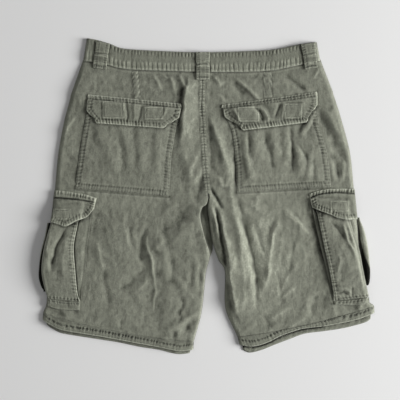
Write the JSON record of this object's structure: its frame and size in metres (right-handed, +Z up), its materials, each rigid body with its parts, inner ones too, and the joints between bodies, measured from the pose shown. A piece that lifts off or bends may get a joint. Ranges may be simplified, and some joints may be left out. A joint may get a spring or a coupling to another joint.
{
  "type": "cargo shorts",
  "caption": "Washed cotton twill cargo shorts laid flat with the back up: gathered waistband, belt loops, flapped back patch pockets and bellows cargo pockets.",
  "frame": {"origin": "on the surface that the shorts lie on, below the middle of the whole garment", "axes": "+X to the right seen from above, +Y from the hems to the waistband, +Z up from the surface, out of the back of the shorts"},
  "size_m": [0.641, 0.6, 0.0206],
  "materials": {
    "washed_twill": "washed sage green cotton twill, matt",
    "twill_trim": "the same twill, doubled and topstitched, darker in its puckers",
    "button": "dark matt resin"
  },
  "bodies": {
    "root": {"back_left": "washed_twill", "back_right": "washed_twill", "front_left": "washed_twill", "front_right": "washed_twill", "back_pocket_left": "washed_twill", "back_pocket_right": "washed_twill", "cargo_bag_left": "washed_twill", "cargo_bag_right": "washed_twill", "cargo_gusset_left": "washed_twill", "cargo_gusset_right": "washed_twill", "cargo_rim_left": "washed_twill", "cargo_rim_right": "washed_twill", "cargo_bag_front_left": "washed_twill", "cargo_bag_front_right": "washed_twill", "cargo_flap_front_left": "washed_twill", "cargo_flap_front_right": "washed_twill", "fly_placket": "washed_twill", "waistband_back": "twill_trim", "waistband_front_left": "twill_trim", "waistband_front_right": "twill_trim", "hem_back_left": "twill_trim", "hem_back_right": "twill_trim", "hem_front_left": "twill_trim", "hem_front_right": "twill_trim", "belt_loop_back_left": "twill_trim", "belt_loop_back_centre": "twill_trim", "belt_loop_back_right": "twill_trim", "belt_loop_front_left": "twill_trim", "belt_loop_front_right": "twill_trim", "back_flap_left": "twill_trim", "back_flap_right": "twill_trim", "cargo_flap_left": "twill_trim", "cargo_flap_right": "twill_trim", "cargo_foot_left": "twill_trim", "cargo_foot_right": "twill_trim", "waist_button": "button"}
  },
  "joints": []
}
